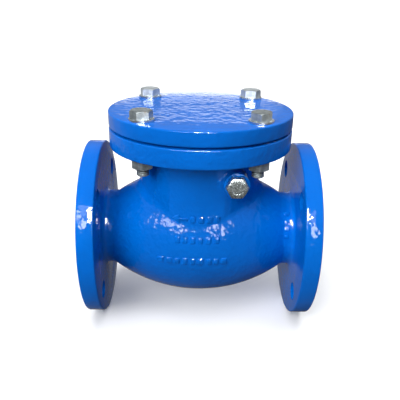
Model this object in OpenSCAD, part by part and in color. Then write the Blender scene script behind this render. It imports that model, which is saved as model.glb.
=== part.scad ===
// Flanged swing check valve with a bolted bonnet, size DN65, PN16.
// X runs along the flow line and points out of the inlet, and Z points up to the bonnet.
// The origin is the centre of the inlet's sealing face. Lengths are in millimetres.

/* [Flow line] */
// Bore of both ports
bore_d = 65; // [60:1:66]
// Length over the two sealing faces
face_to_face = 240; // [238:1:260]

/* [End flanges] */
// Outer diameter of an end flange
flange_d = 185; // [180:1:200]
// Thickness of an end flange at its rim
flange_t = 17; // [14:1:19]
// Diameter of the raised sealing face
raised_face_d = 118; // [100:1:122]
// Height of the raised sealing face
raised_face_h = 3; // [2:0.5:3]
// Circle that the end flange's bolt holes lie on
flange_pcd = 145; // [145:1:150]
// Diameter of an end flange's bolt hole
flange_hole_d = 19; // [17:0.5:20]

/* [Barrel] */
// Greatest outer radius of the barrel
barrel_r = 67.5; // [67:0.5:69]
// Radius of the arc that the barrel's outline follows
barrel_arc_r = 155; // [150:1:160]
// How far the barrel's axis lies below the flow line
barrel_drop = 1.25; // [0:0.25:1.5]
// Outer radius of the neck behind an end flange
neck_r = 39.5; // [39:0.5:42]
// Wall thickness of the casting
wall = 6; // [5.5:0.5:6.5]

/* [Bonnet] */
// Outer diameter of the bonnet and of the body flange under it
bonnet_d = 185; // [180:1:190]
// Thickness of the bonnet
bonnet_t = 14.5; // [12:0.5:18]
// Height of the body flange's underside above the flow line
body_flange_z = 94.5; // [94:0.5:98]
// Thickness of the body flange
body_flange_t = 18.5; // [16:0.5:20]
// Thickness of the bonnet's gasket
gasket_t = 2; // [1.5:0.5:3]
// Circle that the bonnet bolts lie on
bonnet_pcd = 155; // [154:1:158]
// Outer radius of the round riser between barrel and body flange
riser_r = 61.5; // [61:0.5:62]

/* [Fasteners] */
// Thread diameter of the bonnet bolts and side plugs
bolt_d = 12; // [10, 12]
// Width across the flats of a hex head or nut
hex_af = 19; // [18:0.5:19]
// Height of a hex head
head_h = 7.5; // [6.5:0.5:8]
// Length of a bonnet bolt under its head
bolt_length = 55; // [50:5:55]

/* [Clack] */
// Hinge pin's distance from the valve's middle, towards the inlet
pin_offset = 35; // [34:0.5:35]
// Hinge pin's height above the flow line
pin_z = 70; // [69:0.5:71]
// Hinge pin's diameter
pin_d = 10; // [9:0.5:10]
// Lean of the seat, which makes the disc close by its own weight
seat_tilt = 5; // [4:0.5:6]
// Seat centre's distance from the valve's middle, towards the inlet
seat_offset = 23; // [23:0.5:24]
// Outer radius of the disc
disc_r = 36.5; // [36:0.5:37]
// Thread diameter of the disc's stud
stud_d = 10; // [8:1:10]

/* [Hidden] */
corners = [for (i = [1:4]) i];
sides = ["front", "back"];

$fn = 96;
hex_sides = 6;
arc_steps = 4;         // segments in a small fillet's outline
barrel_steps = 20;     // segments in half of the barrel's outline
over = 1;              // how far a cutting tool runs past the surface that it cuts
far = 200;             // half the side of a cube that cuts off everything beyond a plane
gap = 0.3;             // room between pieces that move past each other
fit = 0.05;            // radial clearance of a running fit
push_fit = 0.02;       // radial clearance of a part pushed into its seat

// Along the flow line, measured from the valve's middle
mid_x = -face_to_face / 2;
rim_front = face_to_face / 2 - raised_face_h;
rim_back = rim_front - flange_t;
neck_blend = 12;
flange_fillet = 4;
rim_round = 1.5;
port_cut = 60;         // how deep the straight bore is cut from each end

// Barrel outline: an arc whose centre lies beyond the axis, blended into the neck
arc_centre = barrel_r - barrel_arc_r;
blend_centre_r = neck_r - barrel_drop + neck_blend;
blend_centre_x = sqrt(pow(barrel_arc_r + neck_blend, 2) - pow(blend_centre_r - arc_centre, 2));
blend_angle = atan2(blend_centre_x, blend_centre_r - arc_centre);

// Heights in the bonnet joint
gasket_z = body_flange_z + body_flange_t;
bonnet_z = gasket_z + gasket_t;
bonnet_top = bonnet_z + bonnet_t;
opening_r = riser_r - wall;
riser_foot_z = 20;
spigot_h = 3;
spigot_play = 1;
gasket_margin = 1;     // room between the gasket's edge and the bolt holes
bonnet_hole_d = bolt_d + 1.5;
washer_d = 2 * bolt_d;
washer_t = 2.5;
washer_hole_d = bolt_d + 1;
nut_h = 10;
crown_ratio = 0.95;    // radius of a hex head's flat top over half its width across the flats
head_turns = [48, 12, 23, 54];  // where each bolt's head stopped when it was tightened
nut_turns = [10, 28, 33, 50];

// Inlet side of the chamber
bridge_t = 10;         // thickness of the wall that holds the seat ring
bridge_lip = 2;        // how far the seat ring stands out of that wall
roof_z = 40;           // underside of the roof between the inlet chamber and the bonnet chamber
pocket_z = roof_z + wall;

// Seat and disc, measured downstream from the disc's sealing face
seat_id = 61;
seat_od = 74;
seat_depth = 9;
port_d = 65;
disc_t = 9;
boss_r = 15;
shoulder = 11.2;
eye_start = shoulder + gap;
eye_t = 10;
eye_r = 13;
stud_washer_start = eye_start + eye_t + gap;
stud_washer_t = 2;
stud_washer_hole_d = stud_d + 0.5;
stud_af = 16;
stud_nut_h = 7;
stud_nut_start = stud_washer_start + stud_washer_t;
split_pin_d = 2;
split_pin_at = stud_nut_start + stud_nut_h + 1.4;
stud_end = split_pin_at + 2.6;
leg_length = 2.5;      // how far the split pin's legs stand out of the stud
ring_t = 2.5;
ring_inner_r = seat_id / 2 + 0.5;
ring_outer_r = disc_r - 1.2;

// Hinge: bosses, bushes and plugs, measured along Y from the middle
boss_face = 62;
outer_boss_r = 12.5;
lug_r = 12;
lug_face = 28;
bush_od = 14;
bush_end = 44;
bush_flange_r = 8.5;
bush_flange_t = 1.5;
plug_end = 48;
plug_hole_d = bolt_d + 0.2;
pin_end = 47.4;
pin_way_d = pin_d + 0.5;
hub_r = 10;
hub_end = lug_face - bush_flange_t - gap;
seal_t = 1.5;
seal_r = 8.8;

// Hinge pin's place as seen from the seat: how far up the seat's face, and how far downstream
pin_up = (pin_offset - seat_offset) * sin(seat_tilt) + pin_z * cos(seat_tilt);
pin_down = pin_z * sin(seat_tilt) - (pin_offset - seat_offset) * cos(seat_tilt);

// Knee of the hinge arm, as seen from the seat
knee_r = 4.5;
knee_up = 52;
knee_down = eye_start + eye_t / 2;

// Stop lug under the bonnet, which the knee reaches when the disc is fully open
open_angle = 55;
open_lean = seat_tilt + open_angle;
stop_r = 8;
stop_room = 0.6;
stop_x = pin_offset + (knee_up - pin_up) * sin(open_lean) - (knee_down - pin_down) * cos(open_lean);
stop_z = pin_z + (knee_up - pin_up) * cos(open_lean) + (knee_down - pin_down) * sin(open_lean)
    + knee_r + stop_room;

function arc_points(cx, cy, r, from, to, steps) =
    [for (i = [0:steps])
        let (a = from + (to - from) * i / steps)
        [cx + r * cos(a), cy + r * sin(a)]];

function flipped(points) =
    [for (i = [len(points) - 1:-1:0]) [points[i][0], -points[i][1]]];

// Half of the barrel's outline about its own axis, as [radius, distance from the middle]
function barrel_outline() = concat(
    arc_points(arc_centre, 0, barrel_arc_r, 0, blend_angle, barrel_steps),
    arc_points(blend_centre_r, blend_centre_x, neck_blend, 180 + blend_angle, 180, arc_steps),
    [[0, blend_centre_x]]
);

// Half of the outline of the necks and end flanges about the flow line
function end_outline() = concat(
    arc_points(neck_r + flange_fillet, rim_back - flange_fillet, flange_fillet, 180, 90, arc_steps),
    arc_points(flange_d / 2 - rim_round, rim_back + rim_round, rim_round, -90, 0, arc_steps),
    arc_points(flange_d / 2 - rim_round, rim_front - rim_round, rim_round, 0, 90, arc_steps),
    [[raised_face_d / 2, rim_front],
     [raised_face_d / 2, face_to_face / 2],
     [0, face_to_face / 2]]
);

// Turns half an outline and its mirror image about an axis that lies below the flow line by a drop
module turned(half_outline, drop) {
    translate([mid_x, 0, -drop]) rotate([0, 90, 0]) rotate_extrude()
        polygon(concat(flipped(half_outline), half_outline));
}

// Puts a shape on the seat: its Z points downstream, its X up along the seat's face
module on_seat() {
    translate([mid_x + seat_offset, 0, 0]) rotate([0, seat_tilt - 90, 0]) children();
}

// A round bar along Y
module along_y(r, from, to) {
    translate([0, from, 0]) rotate([-90, 0, 0]) cylinder(r = r, h = to - from);
}

// Moves a shape to the hinge pin's axis
module on_pin_axis() {
    translate([mid_x + pin_offset, 0, pin_z]) children();
}

// Turns a shape drawn at the back (+Y) to the front (-Y) if asked
module on_side(side) {
    mirror([0, side == "front" ? 1 : 0, 0]) children();
}

module on_bonnet_corner(i) {
    turn = 45 + 90 * i;
    translate([mid_x, 0, 0])
        rotate([0, 0, turn]) translate([bonnet_pcd / 2, 0, 0]) rotate([0, 0, -turn]) children();
}

// ---- Body casting ----

// The cored inside keeps to the flow line, which leaves the wall thinner above than below
module barrel_inside() {
    inner_arc_r = barrel_arc_r - wall;
    bore_angle = acos((bore_d / 2 - arc_centre) / inner_arc_r);
    outline = concat(
        arc_points(arc_centre, 0, inner_arc_r, 0, bore_angle, barrel_steps),
        [[0, inner_arc_r * sin(bore_angle)]]
    );
    turned(outline, 0);
}

module riser_and_body_flange() {
    fillet = 4;
    outline = concat(
        [[0, riser_foot_z], [riser_r, riser_foot_z]],
        arc_points(riser_r + fillet, body_flange_z - fillet, fillet, 180, 90, arc_steps),
        arc_points(bonnet_d / 2 - rim_round, body_flange_z + rim_round, rim_round, -90, 0, arc_steps),
        arc_points(bonnet_d / 2 - rim_round, gasket_z - rim_round, rim_round, 0, 90, arc_steps),
        [[0, gasket_z]]
    );
    translate([mid_x, 0, 0]) rotate_extrude() polygon(outline);
}

// Everything downstream of a plane parallel to the seat's face, or upstream of it
module downstream_of(plane) {
    on_seat() translate([-far, -far, plane]) cube(2 * far);
}

module upstream_of(plane) {
    on_seat() translate([-far, -far, plane - 2 * far]) cube(2 * far);
}

module riser_bore(from_z) {
    translate([mid_x, 0, from_z]) cylinder(r = opening_r, h = gasket_z + over - from_z);
}

module disc_chamber() {
    intersection() {
        union() {
            barrel_inside();
            riser_bore(riser_foot_z - wall);
        }
        downstream_of(-bridge_lip);
    }
}

module inlet_chamber() {
    intersection() {
        barrel_inside();
        upstream_of(-bridge_lip - bridge_t);
        translate([-face_to_face, -barrel_r, -barrel_r])
            cube([face_to_face, 2 * barrel_r, barrel_r + roof_z]);
    }
}

module ports() {
    for (x = [-face_to_face - over, -port_cut])
        translate([x, 0, 0]) rotate([0, 90, 0]) cylinder(d = bore_d, h = port_cut + over);
    on_seat() translate([0, 0, -seat_depth])
        cylinder(d = seat_od + 2 * push_fit, h = seat_depth + over);
    on_seat() translate([0, 0, -bridge_lip - bridge_t - over])
        cylinder(d = port_d, h = bridge_t + over);
}

module end_flange_holes() {
    for (x = [-face_to_face, -flange_t - raised_face_h - over], turn = [45:90:315])
        translate([x, 0, 0]) rotate([turn, 0, 0]) translate([0, 0, flange_pcd / 2]) rotate([0, 90, 0])
            cylinder(d = flange_hole_d, h = flange_t + raised_face_h + over);
}

module hinge_holes() {
    for (side = sides) on_pin_axis() on_side(side) {
        along_y(plug_hole_d / 2, plug_end, boss_face + over);
        along_y(pin_way_d / 2, bush_end - over, plug_end + over);
        along_y(bush_od / 2, lug_face - over, bush_end);
    }
}

module body() {
    color("#0a6ad0")
    difference() {
        union() {
            difference() {
                union() {
                    turned(barrel_outline(), barrel_drop);
                    turned(end_outline(), 0);
                    riser_and_body_flange();
                    on_pin_axis() along_y(outer_boss_r, -boss_face, boss_face);
                }
                disc_chamber();
                inlet_chamber();
                riser_bore(pocket_z);
                ports();
            }
            for (side = sides) on_pin_axis() on_side(side) along_y(lug_r, lug_face, plug_end);
        }
        end_flange_holes();
        for (i = corners) on_bonnet_corner(i)
            translate([0, 0, body_flange_z - over])
                cylinder(d = bonnet_hole_d, h = body_flange_t + 2 * over);
        hinge_holes();
    }
}

module seat_ring() {
    color("#b8893a") on_seat() difference() {
        translate([0, 0, -seat_depth]) cylinder(d = seat_od, h = seat_depth - gap);
        translate([0, 0, -seat_depth - over]) cylinder(d = seat_id, h = seat_depth + 2 * over);
    }
}

// ---- Bonnet and its fasteners ----

module bonnet() {
    outline = concat(
        [[0, bonnet_z - spigot_h], [opening_r - spigot_play, bonnet_z - spigot_h],
         [opening_r - spigot_play, bonnet_z]],
        arc_points(bonnet_d / 2 - rim_round, bonnet_z + rim_round, rim_round, -90, 0, arc_steps),
        arc_points(bonnet_d / 2 - rim_round, bonnet_top - rim_round, rim_round, 0, 90, arc_steps),
        [[0, bonnet_top]]
    );
    color("#0a6ad0") difference() {
        translate([mid_x, 0, 0]) union() {
            rotate_extrude() polygon(outline);
            translate([stop_x, 0, stop_z]) cylinder(r = stop_r, h = bonnet_z - stop_z);
        }
        for (i = corners) on_bonnet_corner(i)
            translate([0, 0, bonnet_z - over]) cylinder(d = bonnet_hole_d, h = bonnet_t + 2 * over);
    }
}

module bonnet_gasket() {
    outer_r = bonnet_pcd / 2 - bonnet_hole_d / 2 - gasket_margin;
    color("#20242c") translate([mid_x, 0, gasket_z]) difference() {
        cylinder(r = outer_r, h = gasket_t);
        translate([0, 0, -over]) cylinder(r = opening_r, h = gasket_t + 2 * over);
    }
}

// A hexagon whose corners are rounded off at its top, and at its foot as well if asked
module hex_prism(across_flats, height, both_ends) {
    corner_r = across_flats / 2 / cos(30);
    crown_r = crown_ratio * across_flats / 2;
    crown_h = (corner_r - crown_r) * tan(30);
    foot_r = both_ends ? crown_r : corner_r;
    foot_h = both_ends ? crown_h : crown_h / 2;
    intersection() {
        cylinder(r = corner_r, h = height, $fn = hex_sides);
        rotate_extrude() polygon([
            [0, 0], [foot_r, 0], [corner_r, foot_h],
            [corner_r, height - crown_h], [crown_r, height], [0, height]
        ]);
    }
}

module hex_screw(shank) {
    chamfer = 1;
    hex_prism(hex_af, head_h, false);
    translate([0, 0, -shank]) rotate_extrude() polygon([
        [0, 0], [bolt_d / 2 - chamfer, 0], [bolt_d / 2, chamfer],
        [bolt_d / 2, shank + chamfer], [0, shank + chamfer]
    ]);
}

module bonnet_bolt(i) {
    color("#b4b4a8") on_bonnet_corner(i) translate([0, 0, bonnet_top + washer_t])
        rotate([0, 0, head_turns[i - 1]]) hex_screw(bolt_length);
}

module bolt_washer(i) {
    color("#c4c4bc") on_bonnet_corner(i) translate([0, 0, bonnet_top]) difference() {
        cylinder(d = washer_d, h = washer_t);
        translate([0, 0, -over]) cylinder(d = washer_hole_d, h = washer_t + 2 * over);
    }
}

module bonnet_nut(i) {
    color("#a8a89c") on_bonnet_corner(i) translate([0, 0, body_flange_z - nut_h])
        rotate([0, 0, nut_turns[i - 1]]) difference() {
            hex_prism(hex_af, nut_h, true);
            translate([0, 0, -over]) cylinder(r = bolt_d / 2 + fit, h = nut_h + 2 * over);
        }
}

// ---- Hinge ----

module side_plug(side) {
    color("#a8a89c") on_pin_axis() on_side(side)
        translate([0, boss_face + seal_t, 0]) rotate([-90, 0, 0])
            hex_screw(boss_face + seal_t - plug_end - gap);
}

module plug_seal(side) {
    color("#a5622e") on_pin_axis() on_side(side) difference() {
        along_y(seal_r, boss_face, boss_face + seal_t);
        along_y(plug_hole_d / 2, boss_face - over, boss_face + seal_t + over);
    }
}

module pin_bush(side) {
    color("#b8893a") on_pin_axis() on_side(side) difference() {
        union() {
            along_y(bush_od / 2 - push_fit, lug_face - bush_flange_t, bush_end);
            along_y(bush_flange_r, lug_face - bush_flange_t, lug_face);
        }
        along_y(pin_d / 2 + fit, lug_face - bush_flange_t - over, bush_end + over);
    }
}

module hinge_pin() {
    chamfer = 0.8;
    color("#c8ccd0") on_pin_axis() rotate([90, 0, 0]) rotate_extrude() polygon([
        [0, -pin_end], [pin_d / 2 - chamfer, -pin_end], [pin_d / 2, -pin_end + chamfer],
        [pin_d / 2, pin_end - chamfer], [pin_d / 2 - chamfer, pin_end], [0, pin_end]
    ]);
}

// A round bar across the valve, placed by its distance up and downstream on the seat
module cross_bar(up, down, r, width) {
    translate([up, 0, down]) rotate([90, 0, 0]) cylinder(r = r, h = width, center = true);
}

module hinge_arm() {
    bar_width = 16;
    web_width = 34;
    hub_web_r = 6.5;
    color("#5a5c5e") on_seat() difference() {
        union() {
            cross_bar(pin_up, pin_down, hub_r, 2 * hub_end);
            hull() {
                cross_bar(pin_up, pin_down, hub_web_r, web_width, $fn = 32);
                cross_bar(knee_up, knee_down, knee_r, bar_width, $fn = 32);
            }
            hull() {
                cross_bar(knee_up, knee_down, knee_r, bar_width, $fn = 32);
                cross_bar(0, knee_down, knee_r, bar_width, $fn = 32);
            }
            translate([0, 0, eye_start]) cylinder(r = eye_r, h = eye_t);
        }
        cross_bar(pin_up, pin_down, pin_d / 2 + fit, 2 * hub_end + 2 * over);
        translate([0, 0, eye_start - over]) cylinder(r = stud_d / 2 + fit, h = eye_t + 2 * over);
    }
}

// ---- Disc ----

module disc() {
    chamfer = 1;
    lip = 0.6;
    color("#5a5c5e") on_seat() difference() {
        rotate_extrude() polygon([
            [0, lip], [ring_inner_r - push_fit, lip], [ring_inner_r - push_fit, ring_t],
            [ring_outer_r, ring_t], [ring_outer_r, lip], [disc_r, lip],
            [disc_r, disc_t - 2 * chamfer], [disc_r - 2 * chamfer, disc_t],
            [boss_r, disc_t], [boss_r - chamfer, shoulder], [stud_d / 2, shoulder],
            [stud_d / 2, stud_end - chamfer], [stud_d / 2 - chamfer, stud_end], [0, stud_end]
        ]);
        translate([0, 0, split_pin_at]) along_y(split_pin_d / 2 + fit, -stud_d, stud_d);
    }
}

module disc_ring() {
    color("#b8893a") on_seat() difference() {
        cylinder(r = ring_outer_r - push_fit, h = ring_t);
        translate([0, 0, -over]) cylinder(r = ring_inner_r, h = ring_t + 2 * over);
    }
}

module disc_washer() {
    color("#c8ccd0") on_seat() translate([0, 0, stud_washer_start]) difference() {
        cylinder(d = 2 * stud_d, h = stud_washer_t);
        translate([0, 0, -over]) cylinder(d = stud_washer_hole_d, h = stud_washer_t + 2 * over);
    }
}

module disc_nut() {
    color("#c8ccd0") on_seat() translate([0, 0, stud_nut_start]) difference() {
        hex_prism(stud_af, stud_nut_h, true);
        translate([0, 0, -over]) cylinder(r = stud_d / 2 + fit, h = stud_nut_h + 2 * over);
    }
}

module split_pin() {
    eye_ring_r = 1.6;
    shank_start = -stud_d / 2 - split_pin_d / 2;
    color("#c8ccd0") on_seat() translate([0, 0, split_pin_at]) {
        along_y(split_pin_d / 2, shank_start, stud_d / 2 + leg_length);
        translate([0, shank_start + split_pin_d / 4 - eye_ring_r, 0])
            rotate_extrude() translate([eye_ring_r, 0]) circle(d = split_pin_d);
    }
}

body();
seat_ring();
bonnet();
bonnet_gasket();
for (i = corners) {
    bonnet_bolt(i);
    bolt_washer(i);
    bonnet_nut(i);
}
for (side = sides) {
    side_plug(side);
    plug_seal(side);
    pin_bush(side);
}
hinge_pin();
hinge_arm();
disc();
disc_ring();
disc_washer();
disc_nut();
split_pin();
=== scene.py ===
"""Visual model of the flanged swing check valve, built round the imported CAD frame.

Lengths are in metres, in the CAD's own frame: X along the flow, out of the inlet, and Z up.
"""

import math
import random

import bmesh
import bpy
from mathutils import Matrix, Vector
from mathutils.bvhtree import BVHTree


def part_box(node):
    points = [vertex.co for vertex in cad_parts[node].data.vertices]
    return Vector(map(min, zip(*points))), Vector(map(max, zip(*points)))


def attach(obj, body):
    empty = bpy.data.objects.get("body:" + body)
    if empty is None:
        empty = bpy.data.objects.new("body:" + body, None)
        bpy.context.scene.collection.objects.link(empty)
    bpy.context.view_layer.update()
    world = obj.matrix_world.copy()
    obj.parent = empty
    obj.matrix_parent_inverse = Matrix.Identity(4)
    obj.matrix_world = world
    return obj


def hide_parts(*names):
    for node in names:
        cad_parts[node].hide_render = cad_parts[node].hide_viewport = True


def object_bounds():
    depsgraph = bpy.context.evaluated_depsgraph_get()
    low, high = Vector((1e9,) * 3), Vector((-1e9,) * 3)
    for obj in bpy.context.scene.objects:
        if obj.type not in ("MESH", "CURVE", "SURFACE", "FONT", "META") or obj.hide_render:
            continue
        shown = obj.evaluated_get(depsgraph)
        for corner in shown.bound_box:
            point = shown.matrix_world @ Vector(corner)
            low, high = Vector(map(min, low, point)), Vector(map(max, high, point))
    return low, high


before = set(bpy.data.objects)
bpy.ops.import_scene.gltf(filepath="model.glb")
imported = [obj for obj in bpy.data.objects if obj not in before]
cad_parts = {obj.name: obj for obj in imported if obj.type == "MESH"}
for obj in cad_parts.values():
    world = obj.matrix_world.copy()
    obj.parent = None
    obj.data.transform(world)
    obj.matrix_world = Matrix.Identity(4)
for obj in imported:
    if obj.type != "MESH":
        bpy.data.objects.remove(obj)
CAD_LO, CAD_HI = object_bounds()

MM = 0.001

# ---- Sizes read from the frame ----

BODY_LO, BODY_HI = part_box("body")
PIN_LO, PIN_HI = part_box("hinge_pin")
_, BONNET_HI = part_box("bonnet")
PLUG_LO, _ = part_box("side_plug_front")

MID_X = (BODY_LO.x + BODY_HI.x) / 2
FLOOR_Z = BODY_LO.z
BONNET_TOP = BONNET_HI.z
PIN_X = (PIN_LO.x + PIN_HI.x) / 2
PIN_Z = (PIN_LO.z + PIN_HI.z) / 2
CORNERS = (1, 2, 3, 4)
FRONT_CORNERS = (2, 3)
SIDES = ("front", "back")

# ---- Sizes that part.scad states ----

BARREL_R = 67.5 * MM
BARREL_ARC_R = 155 * MM
BARREL_ARC_CENTRE = BARREL_R - BARREL_ARC_R
BARREL_DROP = 1.25 * MM
RISER_R = 61.5 * MM
BODY_FLANGE_Z = 94.5 * MM
BOSS_R = 12.5 * MM
BOLT_CIRCLE_R = 77.5 * MM
BOLT_R = 6 * MM
BOLT_LENGTH = 55 * MM
HEX_AF = 19 * MM
CROWN_R = 0.95 * HEX_AF / 2
HEAD_H = 7.5 * MM
NUT_H = 10 * MM
WASHER_R = 12 * MM
WASHER_HOLE_R = 6.5 * MM
WASHER_T = 2.5 * MM
HEAD_TURNS = (48, 12, 23, 54)
NUT_TURNS = (10, 28, 33, 50)

# ---- Camera ----

CAMERA_FROM_MIDDLE = (-7.44 * MM, -555.35 * MM, 248.41 * MM)
CAMERA_PAN = 0.0166
CAMERA_TILT = 0.4455
CAMERA_ROLL = 0.02
CAMERA_LENS = 49.51
CAMERA_SHIFT_Y = 0.1
CAMERA_CLIP = (0.01, 200)


def add_camera():
    """The camera looks down at the valve from in front, a little to the outlet's side."""
    cos, sin = math.cos, math.sin
    forward = Vector(
        (
            sin(CAMERA_PAN) * cos(CAMERA_TILT),
            cos(CAMERA_PAN) * cos(CAMERA_TILT),
            -sin(CAMERA_TILT),
        )
    )
    right = Vector((cos(CAMERA_PAN), -sin(CAMERA_PAN), 0))
    up = right.cross(forward)
    side = right * cos(CAMERA_ROLL) + up * sin(CAMERA_ROLL)
    top = up * cos(CAMERA_ROLL) - right * sin(CAMERA_ROLL)
    data = bpy.data.cameras.new("camera")
    data.lens = CAMERA_LENS
    data.shift_y = CAMERA_SHIFT_Y
    data.clip_start, data.clip_end = CAMERA_CLIP
    camera = bpy.data.objects.new("camera", data)
    turn = Matrix((side, top, -forward)).transposed().to_4x4()
    place = Vector((MID_X, 0, 0)) + Vector(CAMERA_FROM_MIDDLE)
    camera.matrix_world = Matrix.Translation(place) @ turn
    bpy.context.collection.objects.link(camera)
    bpy.context.scene.camera = camera


# ---- Node helpers ----


class Shader:
    """Builds one node material, with every texture in the object's own coordinates."""

    def __init__(self, name):
        self.material = bpy.data.materials.new(name)
        self.material.use_nodes = True
        self.nodes = self.material.node_tree.nodes
        self.links = self.material.node_tree.links
        self.bsdf = self.nodes["Principled BSDF"]
        self.place = self.nodes.new("ShaderNodeTexCoord").outputs["Object"]

    def add(self, kind, **settings):
        node = self.nodes.new(kind)
        for key, value in settings.items():
            setattr(node, key, value)
        return node

    def link(self, source, target):
        self.links.new(source, target)

    def stretched(self, scale):
        """The object's coordinates, scaled by one factor for each axis."""
        mapping = self.add("ShaderNodeMapping")
        mapping.inputs["Scale"].default_value = scale
        self.link(self.place, mapping.inputs["Vector"])
        return mapping.outputs["Vector"]

    def noise(self, scale, detail=2.0, roughness=0.5, vector=None, distortion=0.0):
        node = self.add("ShaderNodeTexNoise")
        node.inputs["Scale"].default_value = scale
        node.inputs["Detail"].default_value = detail
        node.inputs["Roughness"].default_value = roughness
        node.inputs["Distortion"].default_value = distortion
        self.link(vector or self.place, node.inputs["Vector"])
        return node.outputs["Fac"]

    def spread(self, value, low, high, from_low=0.0, from_high=1.0):
        """low where value is from_low, high where it is from_high, and in line between them."""
        node = self.add("ShaderNodeMapRange")
        node.inputs["From Min"].default_value = from_low
        node.inputs["From Max"].default_value = from_high
        node.inputs["To Min"].default_value = low
        node.inputs["To Max"].default_value = high
        self.link(value, node.inputs["Value"])
        return node.outputs["Result"]

    def blend(self, factor, first, second):
        """The first colour where factor is 0, the second where it is 1."""
        node = self.add("ShaderNodeMix", data_type="RGBA", blend_type="MIX")
        self.link_or_set(factor, node.inputs[0])
        self.link_or_set(first, node.inputs[6])
        self.link_or_set(second, node.inputs[7])
        return node.outputs[2]

    def link_or_set(self, value, socket):
        """Links an output, or sets a number or a colour on the socket itself."""
        if isinstance(value, bpy.types.NodeSocket):
            self.link(value, socket)
        elif isinstance(value, tuple):
            socket.default_value = (*value, 1.0)
        else:
            socket.default_value = value

    def bump(self, height, distance, under=None):
        """The normal of a surface raised by height times distance, over the normal under it."""
        node = self.add("ShaderNodeBump")
        node.inputs["Strength"].default_value = 1.0
        node.inputs["Distance"].default_value = distance
        self.link(height, node.inputs["Height"])
        if under is not None:
            self.link(under, node.inputs["Normal"])
        return node.outputs["Normal"]

    def product(self, first, second):
        node = self.add("ShaderNodeMath", operation="MULTIPLY")
        self.link(first, node.inputs[0])
        self.link(second, node.inputs[1])
        return node.outputs[0]

    def distance_along(self, x):
        """Distance along X from the plane at x."""
        split = self.add("ShaderNodeSeparateXYZ")
        self.link(self.place, split.inputs[0])
        offset = self.add("ShaderNodeMath", operation="SUBTRACT")
        self.link(split.outputs["X"], offset.inputs[0])
        offset.inputs[1].default_value = x
        distance = self.add("ShaderNodeMath", operation="ABSOLUTE")
        self.link(offset.outputs[0], distance.inputs[0])
        return distance.outputs[0]

    def pointiness(self, low, high):
        """0 on flat and hollow places, 1 on sharp outer edges."""
        geometry = self.add("ShaderNodeNewGeometry")
        return self.spread(geometry.outputs["Pointiness"], 0.0, 1.0, low, high)


# ---- Materials ----

# A range is (result at the low end, result at the high end, low end, high end), and goes from
# 0 to 1 when its ends aren't given. A noise is scale per metre, detail, roughness.

BLUE_DEEP = (0.0, 0.112, 0.500)
BLUE_LIGHT = (0.0, 0.134, 0.585)
BLUE_FLECK = (0.0, 0.05, 0.30)
# The lighter blue for sharp outer edges is a painted highlight
BLUE_EDGE_HIGHLIGHT = (0.01, 0.17, 0.66)
ENAMEL_IOR = 1.3
ENAMEL_ROUGHNESS = (0.0, 0.06)
PATCH_RANGE = (0.0, 1.0, 0.3, 0.7)
FLECK_RANGE = (0.0, 0.35, 0.62, 0.78)
ENAMEL_HIGHLIGHT_RANGE = (0.56, 0.66)
# The waves' height, from the cast middle to the machined end flanges
FLANGE_FADE = (1.0, 0.5, 88 * MM, 97 * MM)


def enamel(name, scale, peel, texture):
    """Gloss blue enamel over slow waves of height peel and a finer cast skin of height texture."""
    s = Shader(name)
    colour = s.blend(s.spread(s.noise(16, 3), *PATCH_RANGE), BLUE_DEEP, BLUE_LIGHT)
    colour = s.blend(s.spread(s.noise(420, 3, 0.7), *FLECK_RANGE), colour, BLUE_FLECK)
    # Sharp outer edges turn a lighter blue: a painted highlight
    colour = s.blend(s.pointiness(*ENAMEL_HIGHLIGHT_RANGE), colour, BLUE_EDGE_HIGHLIGHT)
    s.link(colour, s.bsdf.inputs["Base Color"])
    s.link(s.spread(s.noise(55, 4), *ENAMEL_ROUGHNESS), s.bsdf.inputs["Roughness"])
    s.bsdf.inputs["IOR"].default_value = ENAMEL_IOR
    height = s.spread(s.distance_along(MID_X), *FLANGE_FADE)
    waves = s.bump(s.product(s.noise(scale, 1.0, 0.5), height), peel)
    skin = s.bump(s.product(s.noise(2 * scale, 1.0, 0.5), height), texture, under=waves)
    s.link(skin, s.bsdf.inputs["Normal"])
    return s.material


METAL_MOTTLE = (0.0, 1.0, 0.32, 0.68)
METAL_EDGE = (0.54, 0.62)
EDGE_GAIN = 1.25
STAIN_FROM, STAIN_TO = 0.62, 0.74
SMOOTHER, ROUGHER = 0.08, 0.10


def metal(
    name, light, dark, roughness, metallic=1.0, stain=None, more_stain=0.0, grain=0.08, scale=160
):
    """Plated or machined metal: mottled colour, uneven gloss and a fine grain, its height in mm."""
    s = Shader(name)
    colour = s.blend(s.spread(s.noise(scale, 4, 0.65), *METAL_MOTTLE), dark, light)
    if stain is not None:
        blots = s.noise(scale * 0.8, 5, 0.7, distortion=0.6)
        blots = s.spread(blots, 0.0, 1.0, STAIN_FROM - more_stain, STAIN_TO - more_stain)
        colour = s.blend(blots, colour, stain)
    edge = tuple(min(1.0, c * EDGE_GAIN) for c in light)
    colour = s.blend(s.pointiness(*METAL_EDGE), colour, edge)
    s.link(colour, s.bsdf.inputs["Base Color"])
    s.bsdf.inputs["Metallic"].default_value = metallic
    uneven = s.spread(s.noise(scale * 1.7, 3), roughness - SMOOTHER, roughness + ROUGHER)
    s.link(uneven, s.bsdf.inputs["Roughness"])
    s.link(s.bump(s.noise(scale * 5, 4, 0.6), grain * MM), s.bsdf.inputs["Normal"])
    return s.material


BRONZE_DARK = (0.46, 0.30, 0.10)
BRONZE_LIGHT = (0.72, 0.52, 0.22)
BRONZE_ROUGHNESS = (0.22, 0.42)


def turned_bronze(name, axis_scale):
    """Machined bronze with fine turning marks, which axis_scale stretches round the part."""
    s = Shader(name)
    lines = s.noise(1.0, 2, vector=s.stretched(axis_scale))
    mottle = s.spread(s.noise(70, 4, 0.6), *PATCH_RANGE)
    colour = s.blend(mottle, BRONZE_DARK, BRONZE_LIGHT)
    s.link(colour, s.bsdf.inputs["Base Color"])
    s.bsdf.inputs["Metallic"].default_value = 1.0
    s.link(s.spread(lines, *BRONZE_ROUGHNESS), s.bsdf.inputs["Roughness"])
    s.link(s.bump(lines, 0.06 * MM), s.bsdf.inputs["Normal"])
    return s.material


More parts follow.
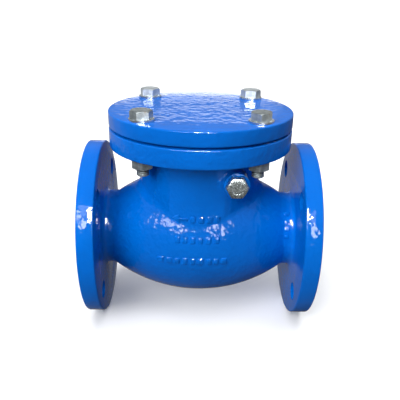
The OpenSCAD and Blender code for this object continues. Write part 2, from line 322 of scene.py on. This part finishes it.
IRON_DARK = (0.055, 0.056, 0.060)
IRON_LIGHT = (0.14, 0.14, 0.145)
RUST = (0.16, 0.065, 0.025)
RUST_RANGE = (0.0, 0.7, 0.56, 0.70)
IRON_METALLIC = 0.55
IRON_ROUGHNESS = (0.5, 0.75)


def bare_iron(name):
    """Cast iron with a sandy skin and patches of rust."""
    s = Shader(name)
    mottle = s.spread(s.noise(60, 5, 0.65), *PATCH_RANGE)
    colour = s.blend(mottle, IRON_DARK, IRON_LIGHT)
    colour = s.blend(s.spread(s.noise(38, 6, 0.7), *RUST_RANGE), colour, RUST)
    s.link(colour, s.bsdf.inputs["Base Color"])
    s.bsdf.inputs["Metallic"].default_value = IRON_METALLIC
    s.link(s.spread(s.noise(240, 3), *IRON_ROUGHNESS), s.bsdf.inputs["Roughness"])
    s.link(s.bump(s.noise(520, 4, 0.7), 0.3 * MM), s.bsdf.inputs["Normal"])
    return s.material


GASKET_DARK = (0.012, 0.014, 0.022)
GASKET_LIGHT = (0.05, 0.055, 0.07)
GASKET_ROUGHNESS = (0.7, 0.9)
FIBRE_SCALE = (900, 900, 300)
FIBRE_RANGE = (0.0, 1.0, 0.35, 0.65)


def gasket_fibre(name):
    """Dark matt gasket of short fibres, stretched upwards."""
    s = Shader(name)
    fibres = s.noise(1.0, 4, 0.7, vector=s.stretched(FIBRE_SCALE))
    colour = s.blend(s.spread(fibres, *FIBRE_RANGE), GASKET_DARK, GASKET_LIGHT)
    s.link(colour, s.bsdf.inputs["Base Color"])
    s.link(s.spread(fibres, *GASKET_ROUGHNESS), s.bsdf.inputs["Roughness"])
    s.link(s.bump(fibres, 0.2 * MM), s.bsdf.inputs["Normal"])
    return s.material


PAPER_DARK = (0.90, 0.90, 0.90)
PAPER_LIGHT = (0.93, 0.93, 0.93)
PAPER_ROUGHNESS = 0.9
PAPER_SPECULAR = 0.1


def floor_paper(name):
    """Matt white paper."""
    s = Shader(name)
    s.link(s.blend(s.noise(3, 2), PAPER_DARK, PAPER_LIGHT), s.bsdf.inputs["Base Color"])
    s.bsdf.inputs["Roughness"].default_value = PAPER_ROUGHNESS
    s.bsdf.inputs["Specular IOR Level"].default_value = PAPER_SPECULAR
    return s.material


CAST_PAINT = enamel("cast_enamel", 150, peel=0.62 * MM, texture=0.26 * MM)
FLAT_PAINT = enamel("machined_enamel", 105, peel=0.6 * MM, texture=0.12 * MM)
# One zinc in two tones: a lighter copy for the back bolts' heads, and a darker copy with stains,
# its darkness painted shade, for the front heads and the nuts under the body flange
ZINC_LIT = metal("zinc_lit", (0.60, 0.64, 0.66), (0.28, 0.31, 0.32), 0.32, metallic=0.7)
ZINC_SHADED_STAINED = metal(
    "zinc_shaded_stained", (0.37, 0.41, 0.42), (0.13, 0.15, 0.155), 0.36,
    metallic=0.8, stain=(0.20, 0.15, 0.10), more_stain=0.05,
)
ZINC_WORN = metal(
    "zinc_worn", (0.68, 0.72, 0.74), (0.27, 0.29, 0.30), 0.22,
    stain=(0.16, 0.13, 0.10), more_stain=0.03,
)
ZINC_ROUGH = metal(
    "zinc_rough", (0.55, 0.60, 0.60), (0.13, 0.145, 0.145), 0.26,
    stain=(0.11, 0.10, 0.08), more_stain=0.03, grain=0.2, scale=380,
)
STEEL = metal("stainless", (0.66, 0.67, 0.68), (0.52, 0.53, 0.54), 0.28, grain=0.04)
COPPER = metal("copper", (0.72, 0.36, 0.20), (0.45, 0.20, 0.11), 0.34)
BRONZE = turned_bronze("bronze_turned", axis_scale=(2600, 260, 260))
BUSH_BRONZE = turned_bronze("bronze_bush", axis_scale=(260, 2600, 260))
IRON = bare_iron("bare_iron")
GASKET = gasket_fibre("gasket_fibre")


# ---- Mesh helpers ----

SHARP_DEG = 35
CASTING_SHARP_DEG = 25
WELD_DISTANCE = 0.002 * MM
SAME_PLANE_DEG = 0.3
BEVEL_SEGMENTS = 2
CASTING_WEAR = 0.5 * MM


def add_object(name, mesh, body, material):
    """A piece in world coordinates that rides on a body."""
    obj = bpy.data.objects.new(name, mesh)
    bpy.context.collection.objects.link(obj)
    mesh.materials.clear()
    mesh.materials.append(material)
    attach(obj, body)
    return obj


def finished_mesh(name, bm, sharp_deg=SHARP_DEG):
    """A mesh with outward normals that is smooth apart from its sharp edges."""
    bmesh.ops.recalc_face_normals(bm, faces=bm.faces)
    mesh = bpy.data.meshes.new(name)
    bm.to_mesh(mesh)
    bm.free()
    mesh.shade_smooth()
    mesh.set_sharp_from_angle(angle=math.radians(sharp_deg))
    return mesh


def add_bevel(obj, width):
    """Wears sharp edges round, without changing the mesh."""
    bevel = obj.modifiers.new("worn_edges", "BEVEL")
    bevel.width = width
    bevel.segments = BEVEL_SEGMENTS
    bevel.limit_method = "ANGLE"
    bevel.angle_limit = math.radians(SHARP_DEG)
    bevel.harden_normals = True


def refined(node, body, material, width):
    """A copy of a CAD node whose faces are joined and whose sharp edges are worn round."""
    bm = bmesh.new()
    bm.from_mesh(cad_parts[node].data)
    bmesh.ops.remove_doubles(bm, verts=bm.verts, dist=WELD_DISTANCE)
    flat = math.radians(SAME_PLANE_DEG)
    bmesh.ops.dissolve_limit(bm, angle_limit=flat, verts=bm.verts, edges=bm.edges)
    mesh = finished_mesh(node + "_finished", bm, CASTING_SHARP_DEG)
    for attribute in [a for a in mesh.attributes if a.name == "custom_normal"]:
        mesh.attributes.remove(attribute)
    obj = add_object(node + "_finished", mesh, body, material)
    add_bevel(obj, width)
    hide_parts(node)
    return obj


TURNED_COLUMNS = 72


def turned_mesh(name, rings, closed=False, sharp_deg=SHARP_DEG):
    """Joins rings round Z. Each is (radius, height), or a function of the angle that gives both."""
    bm = bmesh.new()
    rows = []
    for ring in rings:
        row = []
        for k in range(TURNED_COLUMNS):
            angle = 2 * math.pi * k / TURNED_COLUMNS
            radius, height = ring(angle) if callable(ring) else ring
            row.append(bm.verts.new((radius * math.cos(angle), radius * math.sin(angle), height)))
        rows.append(row)
    pairs = list(zip(rows, rows[1:]))
    if closed:
        pairs.append((rows[-1], rows[0]))
    else:
        bm.faces.new(rows[0])
        bm.faces.new(rows[-1])
    for upper, lower in pairs:
        for k in range(TURNED_COLUMNS):
            n = (k + 1) % TURNED_COLUMNS
            bm.faces.new((upper[k], upper[n], lower[n], lower[k]))
    return finished_mesh(name, bm, sharp_deg)


def ring_of_sections(name, sections):
    """Joins closed sections, each a list of points, into a ring."""
    bm = bmesh.new()
    rows = [[bm.verts.new(point) for point in section] for section in sections]
    for row, following in zip(rows, rows[1:] + rows[:1]):
        for k in range(len(row)):
            n = (k + 1) % len(row)
            bm.faces.new((row[k], row[n], following[n], following[k]))
    return finished_mesh(name, bm)


# ---- Casting ----

FILLET_STEPS = 8
FILLET_BURIED = 0.6 * MM
RISER_FILLET_R = 12 * MM
RISER_SECTIONS = 144
BOSS_FILLET_R = 2.8 * MM
BOSS_SECTIONS = 72


def fillet_section(centre, radius, to_first, to_second):
    """A rolling ball's section between two surfaces, closed by points buried under both."""
    points = []
    for i in range(FILLET_STEPS + 1):
        points.append(centre + to_first.slerp(to_second, i / FILLET_STEPS) * radius)
    corner = centre + (to_first + to_second) * (radius / (1 + to_first.dot(to_second)))
    outward = (to_first + to_second).normalized() * FILLET_BURIED
    points.append(points[FILLET_STEPS] + to_second * FILLET_BURIED)
    points.append(corner + outward)
    points.append(points[0] + to_first * FILLET_BURIED)
    return points


def riser_fillet():
    """Soft cast corner where the round riser meets the barrel."""
    radius = RISER_FILLET_R
    sections = []
    for k in range(RISER_SECTIONS):
        turn = 2 * math.pi * k / RISER_SECTIONS
        x = (RISER_R + radius) * math.cos(turn)
        y = (RISER_R + radius) * math.sin(turn)
        along = math.sqrt((BARREL_ARC_R + radius) ** 2 - x**2)
        reach = BARREL_ARC_CENTRE + along
        up = math.sqrt(reach**2 - y**2)
        centre = Vector((MID_X + x, y, up - BARREL_DROP))
        to_riser = Vector((-math.cos(turn), -math.sin(turn), 0))
        to_barrel = -Vector((x, along * y / reach, along * up / reach)).normalized()
        sections.append(fillet_section(centre, radius, to_riser, to_barrel))
    mesh = ring_of_sections("riser_fillet", sections)
    return add_object("riser_fillet", mesh, "valve", CAST_PAINT)


def boss_fillet(side):
    """Soft cast corner where a hinge boss meets the riser."""
    radius = BOSS_FILLET_R
    sign = -1 if side == "front" else 1
    sections = []
    for k in range(BOSS_SECTIONS):
        turn = 2 * math.pi * k / BOSS_SECTIONS
        x = PIN_X - MID_X + (BOSS_R + radius) * math.cos(turn)
        z = PIN_Z + (BOSS_R + radius) * math.sin(turn)
        y = sign * math.sqrt((RISER_R + radius) ** 2 - x**2)
        to_boss = Vector((-math.cos(turn), 0, -math.sin(turn)))
        to_riser = -Vector((x, y, 0)).normalized()
        sections.append(fillet_section(Vector((MID_X + x, y, z)), radius, to_boss, to_riser))
    name = "boss_fillet_" + side
    return add_object(name, ring_of_sections(name, sections), "valve", CAST_PAINT)


# ---- Cast marks ----

# A rise is above the flow line, and a place along X is from the valve's middle.

MARK_HEIGHT = 1.2 * MM
MARK_ROOT = -0.8 * MM
# From the buried root to the top: the outline's share, and the height over the casting
MARK_LEVELS = (
    (1.08, MARK_ROOT),
    (1.0, MARK_HEIGHT * 0.3),
    (0.86, MARK_HEIGHT * 0.8),
    (0.66, MARK_HEIGHT),
)
MARK_SHARP_DEG = 50
MARK_SEED = 7
# Each row of bars: its rise, where its first bar starts, and the end of where its last may start
BAR_ROWS = (
    (34 * MM, -9 * MM, 20 * MM),
    (14 * MM, -24 * MM, 20 * MM),
    (-9 * MM, -42 * MM, 29 * MM),
)
BAR_WIDTHS_MM = (4.6, 6.4)
BAR_LENGTHS_MM = (6.8, 8.2)
BAR_GAP = 2.6 * MM
BAR_CORNER = 1.2 * MM
CORNER_STEPS = 3
ARROW_X, ARROW_Z = -18 * MM, BAR_ROWS[0][0]
ARROW_MM = ((-9, 0), (-2.5, 4.6), (-2.5, 1.6), (7, 1.6), (7, -1.6), (-2.5, -1.6), (-2.5, -4.6))
# The neck's bars from the top: each one's width and rise
NECK_BARS_MM = ((6, 28), (4.5, 21), (6, 14), (5, 7))
NECK_MARK_X = 91 * MM
NECK_BAR_LENGTH = 4 * MM
NECK_BAR_CORNER = 1 * MM


class Casting:
    """The outside of the casting as seen from the front, to set marks on."""

    def __init__(self, *objects):
        points, faces = [], []
        for obj in objects:
            first = len(points)
            points.extend(obj.matrix_world @ v.co for v in obj.data.vertices)
            faces.extend([first + k for k in polygon.vertices] for polygon in obj.data.polygons)
        self.tree = BVHTree.FromPolygons(points, faces)

    def at(self, x, z):
        """The front-most place on the casting at x and z, and its normal."""
        place, normal, _, _ = self.tree.ray_cast(Vector((x, CAD_LO.y - 1, z)), Vector((0, 1, 0)))
        return place, normal


def rounded_bar(width, length, corner):
    """The outline of a bar with rounded corners, length upwards."""
    points = []
    for sx, sy, start in ((1, 1, 0), (-1, 1, 90), (-1, -1, 180), (1, -1, 270)):
        for step in range(CORNER_STEPS + 1):
            turn = math.radians(start + 90 * step / CORNER_STEPS)
            x = sx * (width / 2 - corner) + corner * math.cos(turn)
            y = sy * (length / 2 - corner) + corner * math.sin(turn)
            points.append((x, y))
    return points


def raised_mark(name, casting, centre, outline):
    """A low cast pad on the casting's front, with outline round centre, both in X and Z."""
    bm = bmesh.new()
    x, z = MID_X + centre[0], centre[1]
    _, normal = casting.at(x, z)
    slope = math.sqrt(normal.y**2 + normal.z**2) / abs(normal.y)
    rows = []
    for share, height in MARK_LEVELS:
        row = []
        for s, t in outline:
            place, _ = casting.at(x + s * share, z + t * share / slope)
            row.append(bm.verts.new(place + normal * height))
        rows.append(row)
    bm.faces.new(rows[0])
    bm.faces.new(rows[-1])
    for lower, upper in zip(rows, rows[1:]):
        for k in range(len(lower)):
            n = (k + 1) % len(lower)
            bm.faces.new((lower[k], lower[n], upper[n], upper[k]))
    mesh = finished_mesh(name, bm, MARK_SHARP_DEG)
    return add_object(name, mesh, "valve", CAST_PAINT)


def barrel_marks(casting):
    """An arrow towards the outlet and rows of plain bars, in the places of cast characters."""
    chance = random.Random(MARK_SEED)
    arrow = [(x * MM, z * MM) for x, z in ARROW_MM]
    raised_mark("mark_arrow", casting, (ARROW_X, ARROW_Z), arrow)
    count = 0
    for rise, left, right in BAR_ROWS:
        x = left
        while x < right:
            width = chance.uniform(*BAR_WIDTHS_MM) * MM
            length = chance.uniform(*BAR_LENGTHS_MM) * MM
            count += 1
            bar = rounded_bar(width, length, BAR_CORNER)
            raised_mark(f"mark_bar_{count}", casting, (x + width / 2, rise), bar)
            x += width + BAR_GAP


def neck_marks(casting):
    """A short stack of bars on the inlet's neck."""
    for count, (width, rise) in enumerate(NECK_BARS_MM, 1):
        bar = rounded_bar(width * MM, NECK_BAR_LENGTH, NECK_BAR_CORNER)
        raised_mark(f"mark_neck_{count}", casting, (NECK_MARK_X, rise * MM), bar)


# ---- Fasteners ----

THREAD_PITCH = 1.75 * MM
THREAD_ROOT_R = 5 * MM
THREAD_LENGTH = 30 * MM
# A groove's rings: each one's radius, and its place as a share of the pitch
GROOVE = ((BOLT_R, 0), (BOLT_R, 0.18), (THREAD_ROOT_R, 0.52), (THREAD_ROOT_R, 0.66))
SCREW_END_R = THREAD_ROOT_R - 0.1 * MM
SCREW_END = 1 * MM
THREAD_START = 1.2 * MM
# The length without thread under a plug's head
PLUG_PLAIN = 2 * MM
CHAMFER_DEG = 30
# How far the washer face under a head is set in, and how high it is
HEAD_FOOT = 0.35 * MM
# The shallow recess in a head's top
RECESS_R = CROWN_R * 0.62
RECESS_FLOOR_R = CROWN_R * 0.60
RECESS_DEPTH = 0.15 * MM
# The worn corners at the chamfer's foot, and then at its top
WEAR_BELOW = 0.15 * MM
WEAR_ABOVE = 0.02 * MM
WEAR_IN = 0.12 * MM
CROWN_WEAR = 0.2 * MM
CROWN_WEAR_BELOW = 0.12 * MM
# A nut's bore and the countersink at both ends of it
NUT_BORE_R = BOLT_R + 0.05 * MM
NUT_SINK_R = NUT_BORE_R + 0.6 * MM
NUT_SINK = 0.5 * MM
NUT_WEAR_IN = 0.1 * MM
# The worn corner of a washer, doubled above
WASHER_EDGE = 0.25 * MM
FASTENER_SHARP_DEG = 28


def hex_r(turn, inset=0.0):
    """Radius of a hexagon with a corner at angle 0."""
    sixth = math.radians(60)
    return HEX_AF / 2 / math.cos(turn % sixth - sixth / 2) - inset


def crown_drop(turn):
    """How far the chamfer has fallen where it meets the flats at this angle."""
    return max(0.0, hex_r(turn) - CROWN_R) * math.tan(math.radians(CHAMFER_DEG))


def head_rings():
    """A hex head from its underside to its slightly sunk top, with a chamfer round that."""
    return [
        (BOLT_R, 0),
        lambda a: (hex_r(a, HEAD_FOOT), 0),
        lambda a: (hex_r(a), HEAD_FOOT),
        lambda a: (hex_r(a), HEAD_H - crown_drop(a) - WEAR_BELOW),
        lambda a: (hex_r(a, WEAR_IN), HEAD_H - crown_drop(a) + WEAR_ABOVE),
        (CROWN_R + CROWN_WEAR, HEAD_H - CROWN_WEAR_BELOW),
        (CROWN_R - CROWN_WEAR, HEAD_H),
        (RECESS_R, HEAD_H),
        (RECESS_FLOOR_R, HEAD_H - RECESS_DEPTH),
    ]


def thread_rings(low, high):
    """Grooves of one pitch each, from the low end to the high end."""
    rings = []
    for k in range(int((high - low) / THREAD_PITCH)):
        z = low + k * THREAD_PITCH
        rings.extend((radius, z + share * THREAD_PITCH) for radius, share in GROOVE)
    return rings


def screw_mesh(name, shank, thread):
    """A hex screw with its head's underside at height 0, threaded over the shank's lower part."""
    rings = [(SCREW_END_R, -shank), (BOLT_R, -shank + SCREW_END)]
    rings += thread_rings(-shank + THREAD_START, -shank + thread)
    rings += [(BOLT_R, -shank + thread)]
    return turned_mesh(name, rings + head_rings(), sharp_deg=FASTENER_SHARP_DEG)


def nut_mesh(name):
    """A hex nut, chamfered on both faces, with its lower one at height 0."""
    rings = [
        (NUT_BORE_R, NUT_SINK),
        (NUT_SINK_R, 0),
        (CROWN_R - CROWN_WEAR, 0),
        lambda a: (hex_r(a, NUT_WEAR_IN), crown_drop(a)),
        lambda a: (hex_r(a), crown_drop(a) + WEAR_BELOW),
        lambda a: (hex_r(a), NUT_H - crown_drop(a) - WEAR_BELOW),
        lambda a: (hex_r(a, NUT_WEAR_IN), NUT_H - crown_drop(a)),
        (CROWN_R - CROWN_WEAR, NUT_H),
        (NUT_SINK_R, NUT_H),
        (NUT_BORE_R, NUT_H - NUT_SINK),
    ]
    return turned_mesh(name, rings, closed=True, sharp_deg=FASTENER_SHARP_DEG)


def washer_mesh(name):
    """A punched washer, rounder above than below."""
    rings = [
        (WASHER_HOLE_R, 0),
        (WASHER_R - WASHER_EDGE, 0),
        (WASHER_R, WASHER_EDGE),
        (WASHER_R, WASHER_T - 2 * WASHER_EDGE),
        (WASHER_R - 2 * WASHER_EDGE, WASHER_T),
        (WASHER_HOLE_R + WASHER_EDGE, WASHER_T),
        (WASHER_HOLE_R, WASHER_T - WASHER_EDGE),
    ]
    return turned_mesh(name, rings, closed=True)


def placed(mesh, node, matrix, material):
    """Sets a mesh in the place of a CAD node."""
    obj = bpy.data.objects.new(node + "_turned", mesh)
    bpy.context.collection.objects.link(obj)
    obj.matrix_world = matrix
    mesh.materials.append(material)
    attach(obj, "valve")
    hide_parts(node)
    return obj


def corner_place(corner, height, turn_deg):
    """Corner 1 is at the back on the outlet's side. From above the others follow anticlockwise."""
    a = math.radians(45 + 90 * corner)
    spot = Vector((MID_X + BOLT_CIRCLE_R * math.cos(a), BOLT_CIRCLE_R * math.sin(a), height))
    return Matrix.Translation(spot) @ Matrix.Rotation(math.radians(turn_deg), 4, "Z")


def bonnet_fasteners():
    """At each corner a bolt, its washer and its nut. The front heads and the nuts take the darker
    zinc: painted shade.
    """
    for corner, head_turn, nut_turn in zip(CORNERS, HEAD_TURNS, NUT_TURNS):
        node = f"bonnet_bolt_{corner}"
        mesh = screw_mesh(node, BOLT_LENGTH, THREAD_LENGTH)
        spot = corner_place(corner, BONNET_TOP + WASHER_T, head_turn)
        # The front heads take the darker zinc, painted shade
        zinc = ZINC_SHADED_STAINED if corner in FRONT_CORNERS else ZINC_LIT
        placed(mesh, node, spot, zinc)
        node = f"bolt_washer_{corner}"
        spot = corner_place(corner, BONNET_TOP, 0)
        placed(washer_mesh(node), node, spot, ZINC_WORN)
        node = f"bonnet_nut_{corner}"
        spot = corner_place(corner, BODY_FLANGE_Z - NUT_H, nut_turn)
        # The nuts, under the body flange, take the darker zinc, painted shade
        placed(nut_mesh(node), node, spot, ZINC_SHADED_STAINED)


def side_plugs():
    """The hex plugs that close the hinge pin's hole, front and back."""
    for side in SIDES:
        sign = -1 if side == "front" else 1
        node = "side_plug_" + side
        low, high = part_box(node)
        shank = high.y - low.y - HEAD_H
        # Where the front head rests; the back one is its mirror image
        seat = PLUG_LO.y + HEAD_H
        turn = Matrix.Rotation(math.radians(-90 * sign), 4, "X")
        spot = Matrix.Translation(Vector((PIN_X, -sign * seat, PIN_Z)))
        mesh = screw_mesh(node, shank, shank - PLUG_PLAIN)
        placed(mesh, node, spot @ turn, ZINC_ROUGH)


# ---- Inner pieces and gaskets ----


def inner_pieces():
    """The pieces inside and the gasket. Each row ends with the width of its worn edges, in mm."""
    rows = [
        ("seat_ring", "valve", "bronze", BRONZE, 0.25),
        ("hinge_pin", "pin", "stainless", STEEL, 0.15),
        ("hinge_arm", "arm", "bare_iron", IRON, 0.6),
        ("disc", "clack", "bare_iron", IRON, 0.35),
        ("disc_ring", "clack", "bronze", BRONZE, 0.2),
        ("disc_washer", "clack", "stainless", STEEL, 0.2),
        ("disc_nut", "clack", "stainless", STEEL, 0.2),
        ("split_pin", "clack", "stainless", STEEL, 0.1),
        ("bonnet_gasket", "valve", "gasket", GASKET, 0.15),
    ]
    for side in SIDES:
        rows.append(("pin_bush_" + side, "valve", "bronze", BUSH_BRONZE, 0.2))
        rows.append(("plug_seal_" + side, "valve", "copper", COPPER, 0.3))
    for node, body, slot, material, width in rows:
        refined(node, body, material, width * MM)


# ---- Floor and light ----

FLOOR_HALF = 60.0
PANEL_DISTANCE = 1.6
PANEL_AIM = Vector((MID_X, 0, 20 * MM))
WORLD_COLOUR = (0.96, 0.98, 1.0, 1)
# Strengths: what the camera sees, the bright band, all ground, and what its front half adds
BACKDROP = 0.9
BAND = 1.1
GROUND = 0.05
GROUND_FRONT = 0.12


def add_floor():
    """A wide white floor that takes shadows and stays out of reflections."""
    bm = bmesh.new()
    corners = [(-1, -1), (1, -1), (1, 1), (-1, 1)]
    points = [(MID_X + x * FLOOR_HALF, y * FLOOR_HALF, FLOOR_Z) for x, y in corners]
    bm.faces.new([bm.verts.new(point) for point in points])
    mesh = bpy.data.meshes.new("floor")
    bm.to_mesh(mesh)
    bm.free()
    mesh.materials.append(floor_paper("floor_paper"))
    floor = bpy.data.objects.new("floor", mesh)
    bpy.context.collection.objects.link(floor)
    floor.visible_glossy = False
    floor.visible_diffuse = False
    floor.visible_shadow = False


def direction(azimuth, elevation):
    """Azimuth 0 is in front (-Y) and 90 on the inlet's side."""
    a, e = math.radians(azimuth), math.radians(elevation)
    return Vector((math.sin(a) * math.cos(e), -math.cos(a) * math.cos(e), math.sin(e)))


def facing(out):
    """Turns a light so that it shines back along out."""
    return out.to_track_quat("Z", "Y").to_matrix().to_4x4()


def add_sun(name, azimuth, elevation, spread, strength):
    """A soft sun that leaves no gleam."""
    data = bpy.data.lights.new(name, "SUN")
    data.angle = math.radians(spread)
    data.energy = strength
    light = bpy.data.objects.new(name, data)
    light.matrix_world = facing(direction(azimuth, elevation))
    light.visible_glossy = False
    bpy.context.collection.objects.link(light)


def add_panel(name, azimuth, elevation, width, height, power):
    """A panel that only shows as a gleam."""
    out = direction(azimuth, elevation)
    data = bpy.data.lights.new(name, "AREA")
    data.shape = "RECTANGLE"
    data.size, data.size_y = width, height
    data.energy = power
    light = bpy.data.objects.new(name, data)
    light.matrix_world = Matrix.Translation(PANEL_AIM + out * PANEL_DISTANCE) @ facing(out)
    light.visible_camera = False
    light.visible_diffuse = False
    bpy.context.collection.objects.link(light)


def add_world():
    """A studio: grey below, soft above, with a bright band low at the back for the bonnet's top.

    The ranges, with their results first, are of the parts of a unit direction.
    """
    world = bpy.data.worlds.new("studio")
    bpy.context.scene.world = world
    world.use_nodes = True
    nodes, links = world.node_tree.nodes, world.node_tree.links

    def ranged(source, low, high, from_low, from_high):
        node = nodes.new("ShaderNodeMapRange")
        node.interpolation_type = "SMOOTHSTEP"
        node.inputs["From Min"].default_value = from_low
        node.inputs["From Max"].default_value = from_high
        node.inputs["To Min"].default_value = low
        node.inputs["To Max"].default_value = high
        links.new(source, node.inputs["Value"])
        return node.outputs["Result"]

    def math_node(kind, first, second):
        node = nodes.new("ShaderNodeMath")
        node.operation = kind
        for socket, value in zip(node.inputs, (first, second)):
            if isinstance(value, bpy.types.NodeSocket):
                links.new(value, socket)
            else:
                socket.default_value = value
        return node.outputs[0]

    def times(first, second):
        return math_node("MULTIPLY", first, second)

    def plus(first, second):
        return math_node("ADD", first, second)

    def rest_of(share):
        return math_node("SUBTRACT", 1, share)

    split = nodes.new("ShaderNodeSeparateXYZ")
    links.new(nodes.new("ShaderNodeTexCoord").outputs["Generated"], split.inputs[0])
    x, y, z = split.outputs
    side = math_node("ABSOLUTE", x, 0)
    at_back = ranged(y, 0, 1, 0.1, 0.4)

    behind = times(ranged(side, 1, 0, 0.09, 0.20), at_back)
    band = times(ranged(z, 0, 1, -0.01, 0.02), ranged(z, 1, 0, 0.185, 0.215))
    glow = times(times(band, behind), BAND)
    horizon = ranged(z, 0.75, 0, 0.03, 0.08)
    sky = ranged(z, 0.18, 0.46, 0.0, 0.55)
    upper = plus(plus(sky, glow), times(horizon, at_back))

    ground_back = times(ranged(x, 0.36, 0.07, -0.25, 0.25), ranged(z, 0.4, 1, -0.55, -0.3))
    ground = plus(times(ground_back, at_back), GROUND)
    ground = plus(ground, times(rest_of(at_back), GROUND_FRONT))

    above = ranged(z, 0, 1, -0.04, 0.0)
    total = plus(times(upper, above), times(rest_of(above), ground))
    seen = nodes.new("ShaderNodeLightPath").outputs["Is Camera Ray"]
    strength = plus(times(seen, BACKDROP), times(rest_of(seen), total))
    links.new(strength, nodes["Background"].inputs["Strength"])
    nodes["Background"].inputs["Color"].default_value = WORLD_COLOUR


# ---- The scene ----

add_camera()
body = refined("body", "valve", CAST_PAINT, CASTING_WEAR)
refined("bonnet", "valve", FLAT_PAINT, CASTING_WEAR)
casting = Casting(body, riser_fillet())
for side in SIDES:
    boss_fillet(side)
barrel_marks(casting)
neck_marks(casting)
bonnet_fasteners()
side_plugs()
inner_pieces()
add_floor()
add_world()
# Azimuth and elevation, then the spread in degrees and the strength
add_sun("overhead", 0, 80, 50, 1.7)
add_sun("key", -32, 30, 42, 3.3)
add_sun("rear", 165, 30, 60, 0.9)
# Azimuth and elevation, then the width and height in metres and the power
add_panel("gleam_left", -17, 23, 0.22, 0.30, 6.5)
add_panel("gleam_far_left", -32, 30, 0.39, 0.30, 8)
add_panel("gleam_left_high", -20, 39, 0.39, 0.45, 4)
add_panel("gleam_right", 15.5, 18, 0.20, 0.56, 9)
add_panel("gleam_right_high", 16, 35, 0.24, 0.45, 2)
add_panel("gleam_middle", 0, 38, 0.36, 0.42, 150)
bpy.context.scene.view_settings.view_transform = "Standard"
